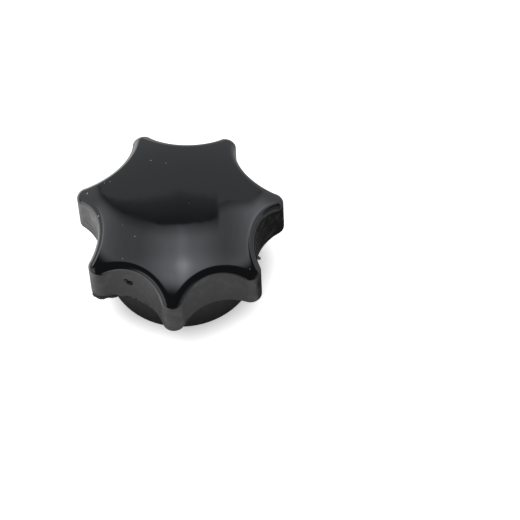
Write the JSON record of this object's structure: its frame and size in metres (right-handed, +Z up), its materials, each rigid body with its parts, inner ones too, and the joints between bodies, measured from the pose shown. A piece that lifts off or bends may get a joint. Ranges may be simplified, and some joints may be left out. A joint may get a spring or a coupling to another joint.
{
  "type": "star knob",
  "caption": "Black moulded star knob: domed scalloped top, rolled rim, wide round boss and a blind threaded metal insert.",
  "frame": {"origin": "middle of the boss's flat foot, on the knob's axis, level with the mouth of the tapped hole", "axes": "+Z up the knob's axis from the foot to the top of the dome; -Y along one lobe"},
  "size_m": [0.0488, 0.0478, 0.0268],
  "materials": {
    "black_phenolic": "polished dome and rim, satin side walls and boss, as moulded",
    "insert_brass": "hexagonal bar, turned and tapped"
  },
  "bodies": {
    "root": {"knob_body": "black_phenolic", "threaded_insert": "insert_brass"}
  },
  "joints": []
}
